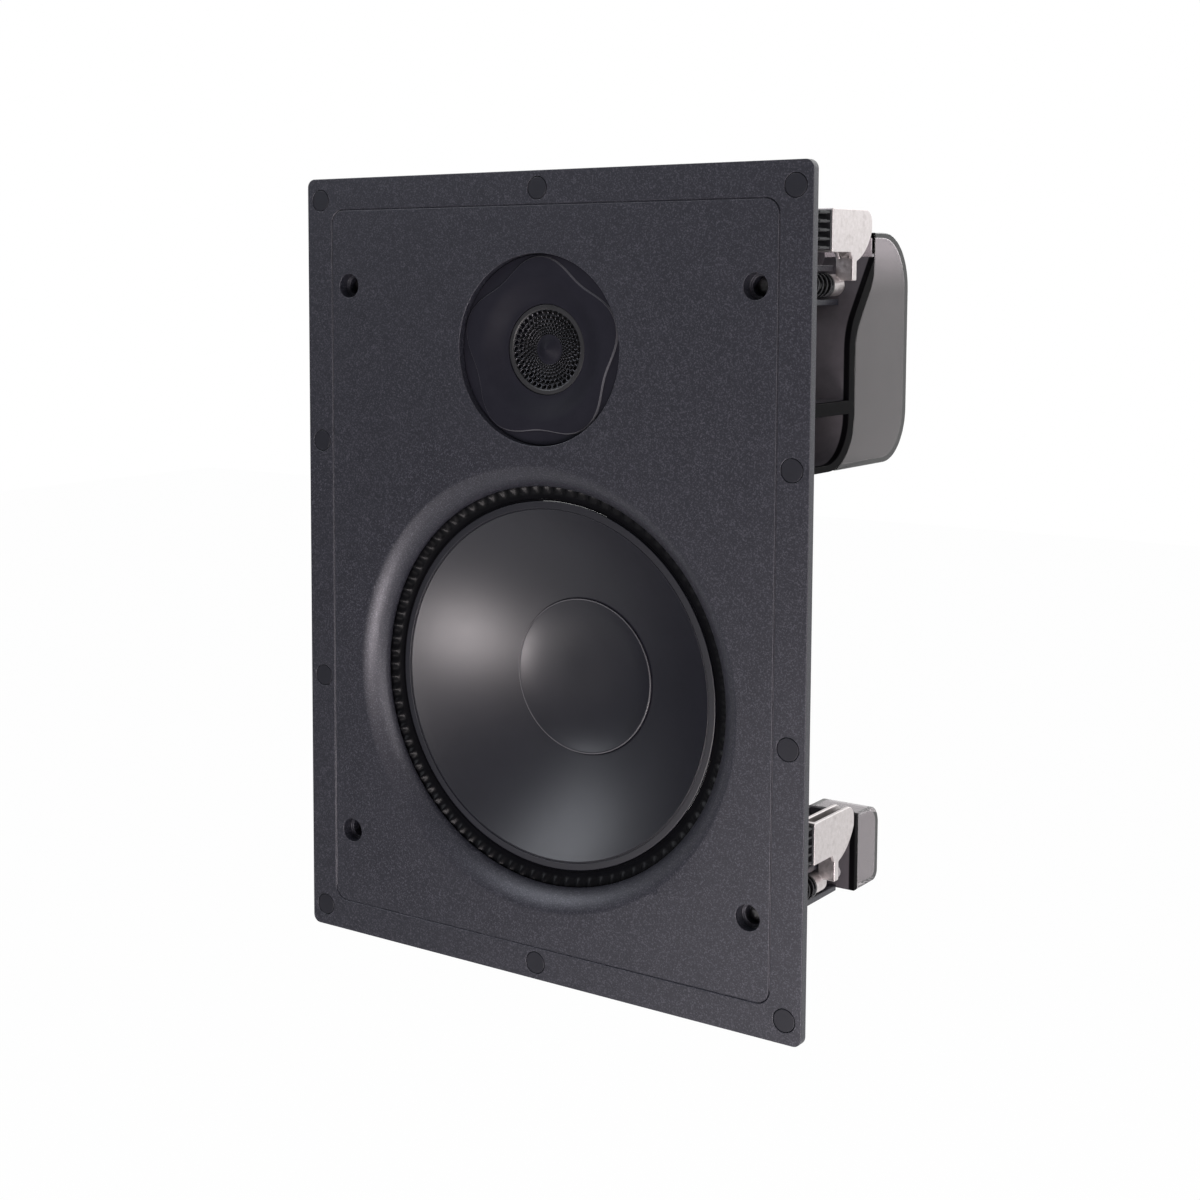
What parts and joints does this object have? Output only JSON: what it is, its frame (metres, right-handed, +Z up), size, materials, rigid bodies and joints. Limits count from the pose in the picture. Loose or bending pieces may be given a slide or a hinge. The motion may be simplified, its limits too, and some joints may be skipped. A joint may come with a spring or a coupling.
{
  "type": "in-wall loudspeaker",
  "caption": "Rectangular in-wall loudspeaker with a round woofer below a dome tweeter, swing-out wall clamps, flush grille magnets and a smoky rear cover.",
  "frame": {"origin": "centre of the flange's back plane, where the part meets the wall", "axes": "+X right as seen from the room, +Z up, +Y into the wall; the front faces -Y"},
  "size_m": [0.273, 0.1358, 0.375],
  "materials": {
    "baffle_plastic": "textured black polymer",
    "magnet_dark": "dark nickel",
    "faceplate_plastic": "satin black",
    "lens_metal": "black coated, perforated",
    "dome_silk": "coated cloth",
    "cone_material": "satin polymer",
    "surround_rubber": "moulded, ribbed",
    "basket_metal": "black powder coat",
    "former_paper": "thin sheet",
    "spider_cloth": "resin-coated weave",
    "motor_steel": "zinc plated",
    "ferrite": "sintered, dark",
    "screw_black": "black oxide",
    "cup_plastic": "moulded",
    "clamp_metal": "cast, bright",
    "clamp_pad_black": "toothed",
    "clamp_screw_steel": "zinc plated",
    "spring_black": "black oxide",
    "tray_plastic": "moulded black",
    "smoky_plastic": "smoky, see-through",
    "board_laminate": "printed circuit board",
    "coil_copper": "enamelled wire",
    "capacitor_film": "wrapped film",
    "resistor_ceramic": "matt white",
    "terminal_plastic": "moulded",
    "lever_red": "moulded",
    "lever_black": "moulded"
  },
  "bodies": {
    "speaker_frame": {"baffle": "baffle_plastic", "capacitor_large": "capacitor_film", "capacitor_small": "capacitor_film", "clamp_cap_left": "smoky_plastic", "clamp_cap_right": "smoky_plastic", "clamp_cap_rim_left": "tray_plastic", "clamp_cap_rim_right": "tray_plastic", "clamp_spring_lower_left": "spring_black", "clamp_spring_lower_right": "spring_black", "clamp_spring_upper_left": "spring_black", "clamp_spring_upper_right": "spring_black", "cover_screws": "screw_black", "crossover_board": "board_laminate", "grille_magnets": "magnet_dark", "inductor_large": "coil_copper", "inductor_small": "coil_copper", "rear_cover": "smoky_plastic", "rear_tray": "tray_plastic", "resistor": "resistor_ceramic", "terminal_block": "terminal_plastic", "tweeter_back_plate": "motor_steel", "tweeter_faceplate": "faceplate_plastic", "tweeter_lens": "lens_metal", "tweeter_magnet": "ferrite", "tweeter_rear_cup": "cup_plastic", "tweeter_screws": "screw_black", "tweeter_surround": "dome_silk", "tweeter_top_plate": "motor_steel", "woofer_back_plate": "motor_steel", "woofer_basket": "basket_metal", "woofer_gasket": "surround_rubber", "woofer_magnet": "ferrite", "woofer_screws": "screw_black", "woofer_spider": "spider_cloth", "woofer_surround": "surround_rubber", "woofer_top_plate": "motor_steel"},
    "woofer_moving": {"woofer_cone": "cone_material", "woofer_dust_cap": "cone_material", "voice_coil_former": "former_paper"},
    "tweeter_moving": {"tweeter_dome": "dome_silk"},
    "lever_right": {"terminal_lever_right": "lever_red"},
    "lever_left": {"terminal_lever_left": "lever_black"},
    "nut_upper_right": {"clamp_washer_upper_right": "clamp_screw_steel"},
    "arm_upper_right": {"clamp_arm_upper_right": "clamp_metal", "clamp_pad_upper_right": "clamp_pad_black"},
    "screw_upper_right": {"clamp_screw_upper_right": "clamp_screw_steel"},
    "nut_lower_right": {"clamp_washer_lower_right": "clamp_screw_steel"},
    "arm_lower_right": {"clamp_arm_lower_right": "clamp_metal", "clamp_pad_lower_right": "clamp_pad_black"},
    "screw_lower_right": {"clamp_screw_lower_right": "clamp_screw_steel"},
    "nut_upper_left": {"clamp_washer_upper_left": "clamp_screw_steel"},
    "arm_upper_left": {"clamp_arm_upper_left": "clamp_metal", "clamp_pad_upper_left": "clamp_pad_black"},
    "screw_upper_left": {"clamp_screw_upper_left": "clamp_screw_steel"},
    "nut_lower_left": {"clamp_washer_lower_left": "clamp_screw_steel"},
    "arm_lower_left": {"clamp_arm_lower_left": "clamp_metal", "clamp_pad_lower_left": "clamp_pad_black"},
    "screw_lower_left": {"clamp_screw_lower_left": "clamp_screw_steel"}
  },
  "joints": [
    {"name": "woofer_travel", "type": "slide", "parent": "speaker_frame", "child": "woofer_moving", "axis": [0, -1, 0], "range_m": [-0.006, 0.006], "stiffness_N_per_m": 1500, "deforming": ["woofer_surround", "woofer_spider"]},
    {"name": "tweeter_travel", "type": "slide", "parent": "speaker_frame", "child": "tweeter_moving", "axis": [0, -1, 0], "range_m": [-0.0004, 0.0004], "stiffness_N_per_m": 20, "deforming": ["tweeter_surround"]},
    {"name": "clamp_travel_upper_right", "type": "slide", "parent": "speaker_frame", "child": "nut_upper_right", "axis": [0, -1, 0], "range_m": [0, 0.028], "deforming": ["clamp_spring_upper_right"]},
    {"name": "clamp_swing_upper_right", "type": "hinge", "parent": "nut_upper_right", "child": "arm_upper_right", "pos_m": [0.1105, 0, 0.1355], "axis": [0, 1, 0], "range_deg": [0, 90]},
    {"name": "clamp_screw_turn_upper_right", "type": "hinge", "parent": "speaker_frame", "child": "screw_upper_right", "pos_m": [0.1105, 0, 0.1355], "axis": [0, 1, 0], "range_deg": [0, 5040]},
    {"name": "clamp_travel_lower_right", "type": "slide", "parent": "speaker_frame", "child": "nut_lower_right", "axis": [0, -1, 0], "range_m": [0, 0.02], "deforming": ["clamp_spring_lower_right"]},
    {"name": "clamp_swing_lower_right", "type": "hinge", "parent": "nut_lower_right", "child": "arm_lower_right", "pos_m": [0.1105, 0, -0.1355], "axis": [0, 1, 0], "range_deg": [0, 90]},
    {"name": "clamp_screw_turn_lower_right", "type": "hinge", "parent": "speaker_frame", "child": "screw_lower_right", "pos_m": [0.1105, 0, -0.1355], "axis": [0, 1, 0], "range_deg": [0, 3600]},
    {"name": "clamp_travel_upper_left", "type": "slide", "parent": "speaker_frame", "child": "nut_upper_left", "axis": [0, -1, 0], "range_m": [0, 0.028], "deforming": ["clamp_spring_upper_left"]},
    {"name": "clamp_swing_upper_left", "type": "hinge", "parent": "nut_upper_left", "child": "arm_upper_left", "pos_m": [-0.1105, 0, 0.1355], "axis": [0, 1, 0], "range_deg": [0, 90]},
    {"name": "clamp_screw_turn_upper_left", "type": "hinge", "parent": "speaker_frame", "child": "screw_upper_left", "pos_m": [-0.1105, 0, 0.1355], "axis": [0, 1, 0], "range_deg": [0, 5040]},
    {"name": "clamp_travel_lower_left", "type": "slide", "parent": "speaker_frame", "child": "nut_lower_left", "axis": [0, -1, 0], "range_m": [0, 0.02], "deforming": ["clamp_spring_lower_left"]},
    {"name": "clamp_swing_lower_left", "type": "hinge", "parent": "nut_lower_left", "child": "arm_lower_left", "pos_m": [-0.1105, 0, -0.1355], "axis": [0, 1, 0], "range_deg": [0, 90]},
    {"name": "clamp_screw_turn_lower_left", "type": "hinge", "parent": "speaker_frame", "child": "screw_lower_left", "pos_m": [-0.1105, 0, -0.1355], "axis": [0, 1, 0], "range_deg": [0, 3600]},
    {"name": "lever_right_open", "type": "hinge", "parent": "speaker_frame", "child": "lever_right", "pos_m": [0.012, 0.1292, 0.093], "axis": [-1, 0, 0], "range_deg": [0, 60]},
    {"name": "lever_left_open", "type": "hinge", "parent": "speaker_frame", "child": "lever_left", "pos_m": [-0.012, 0.1292, 0.093], "axis": [-1, 0, 0], "range_deg": [0, 60]}
  ],
  "couplings": [
    {"joint": "clamp_screw_turn_upper_right", "follows": "clamp_travel_upper_right", "rad_per_m": 3141.6},
    {"joint": "clamp_screw_turn_lower_right", "follows": "clamp_travel_lower_right", "rad_per_m": 3141.6},
    {"joint": "clamp_screw_turn_upper_left", "follows": "clamp_travel_upper_left", "rad_per_m": 3141.6},
    {"joint": "clamp_screw_turn_lower_left", "follows": "clamp_travel_lower_left", "rad_per_m": 3141.6}
  ]
}
